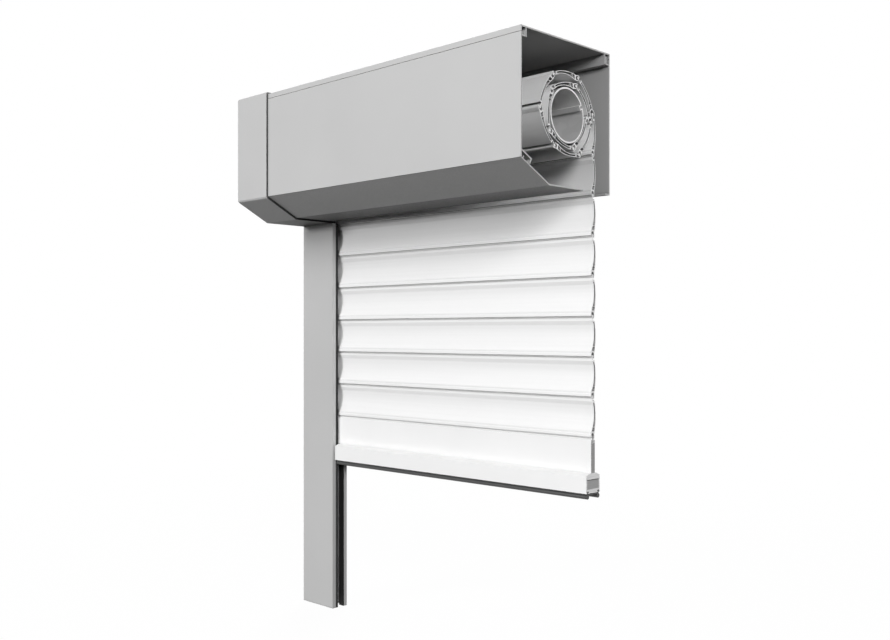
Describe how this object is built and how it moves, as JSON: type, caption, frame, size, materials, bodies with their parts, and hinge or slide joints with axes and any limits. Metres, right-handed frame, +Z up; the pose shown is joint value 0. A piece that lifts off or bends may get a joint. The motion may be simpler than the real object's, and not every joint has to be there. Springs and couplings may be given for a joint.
{
  "type": "exterior roller shutter",
  "caption": "Cut-away end of an exterior roller shutter: box with slanted underside, end cap, guide rail, slat curtain rolled on a tube, weighted bottom bar with seal.",
  "frame": {"origin": "middle of the section on the rear wall face of the box, at mid height of the box", "axes": "+Z up, +Y out of the rear face into the wall, +X along the width towards the cut end"},
  "size_m": [0.406, 0.135, 0.5855],
  "materials": {
    "box_paint": "satin powder coat on aluminium sheet",
    "cap_paint": "satin powder coat on cast aluminium",
    "plated_steel": "zinc plated",
    "bearing_steel": "ground",
    "light_plastic": "moulded",
    "rail_paint": "satin powder coat on extruded aluminium",
    "black_inlay": "soft, matt",
    "tube_steel": "galvanised",
    "plug_plastic": "moulded",
    "spring_steel": "bright strip",
    "slat_white": "extruded, satin",
    "bar_paint": "white powder coat on extruded aluminium",
    "weight_steel": "plain flat bar",
    "white_plastic": "moulded",
    "black_rubber": "extruded, matt"
  },
  "bodies": {
    "box": {"lid": "box_paint", "front_panel": "box_paint", "inspection_panel": "box_paint", "rear_panel": "box_paint", "end_cap": "cap_paint", "bearing_bracket": "plated_steel", "bracket_screws": "plated_steel", "ball_bearing": "bearing_steel", "inlet_plate": "light_plastic", "guide_rail": "rail_paint", "inlay_front": "black_inlay", "inlay_rear": "black_inlay"},
    "lead_slat": {"slat_08": "slat_white"},
    "slat_07": {"slat_07": "slat_white"},
    "slat_06": {"slat_06": "slat_white"},
    "slat_05": {"slat_05": "slat_white"},
    "slat_04": {"slat_04": "slat_white"},
    "slat_03": {"slat_03": "slat_white"},
    "slat_02": {"slat_02": "slat_white"},
    "slat_01": {"slat_01": "slat_white"},
    "bar": {"bottom_bar": "bar_paint", "weight_bar": "weight_steel", "bar_end_plug": "white_plastic", "bottom_seal": "black_rubber"},
    "roll": {"winding_tube": "tube_steel", "tube_plug": "plug_plastic", "tube_links": "spring_steel", "slat_09": "slat_white", "slat_10": "slat_white", "slat_11": "slat_white", "slat_12": "slat_white", "slat_13": "slat_white", "slat_14": "slat_white", "slat_15": "slat_white", "slat_16": "slat_white", "slat_17": "slat_white", "slat_18": "slat_white", "slat_19": "slat_white"}
  },
  "joints": [
    {"name": "curtain_travel", "type": "slide", "parent": "box", "child": "lead_slat", "axis": [0, 0, 1], "range_m": [-0.0166, 0.0037]},
    {"name": "roll_turn", "type": "hinge", "parent": "box", "child": "roll", "pos_m": [0, -0.06672, -0.00107], "axis": [1, 0, 0], "range_deg": [-24.6, 5.6]},
    {"name": "light_slot_07", "type": "slide", "parent": "lead_slat", "child": "slat_07", "axis": [0, 0, 1], "range_m": [0, 0.0014]},
    {"name": "light_slot_06", "type": "slide", "parent": "slat_07", "child": "slat_06", "axis": [0, 0, 1], "range_m": [0, 0.0014]},
    {"name": "light_slot_05", "type": "slide", "parent": "slat_06", "child": "slat_05", "axis": [0, 0, 1], "range_m": [0, 0.0014]},
    {"name": "light_slot_04", "type": "slide", "parent": "slat_05", "child": "slat_04", "axis": [0, 0, 1], "range_m": [0, 0.0014]},
    {"name": "light_slot_03", "type": "slide", "parent": "slat_04", "child": "slat_03", "axis": [0, 0, 1], "range_m": [0, 0.0014]},
    {"name": "light_slot_02", "type": "slide", "parent": "slat_03", "child": "slat_02", "axis": [0, 0, 1], "range_m": [0, 0.0014]},
    {"name": "light_slot_01", "type": "slide", "parent": "slat_02", "child": "slat_01", "axis": [0, 0, 1], "range_m": [0, 0.0014]},
    {"name": "light_slot_bar", "type": "slide", "parent": "slat_01", "child": "bar", "axis": [0, 0, 1], "range_m": [0, 0.0014]}
  ],
  "couplings": [
    {"joint": "roll_turn", "follows": "curtain_travel", "rad_per_m": 25.641}
  ]
}
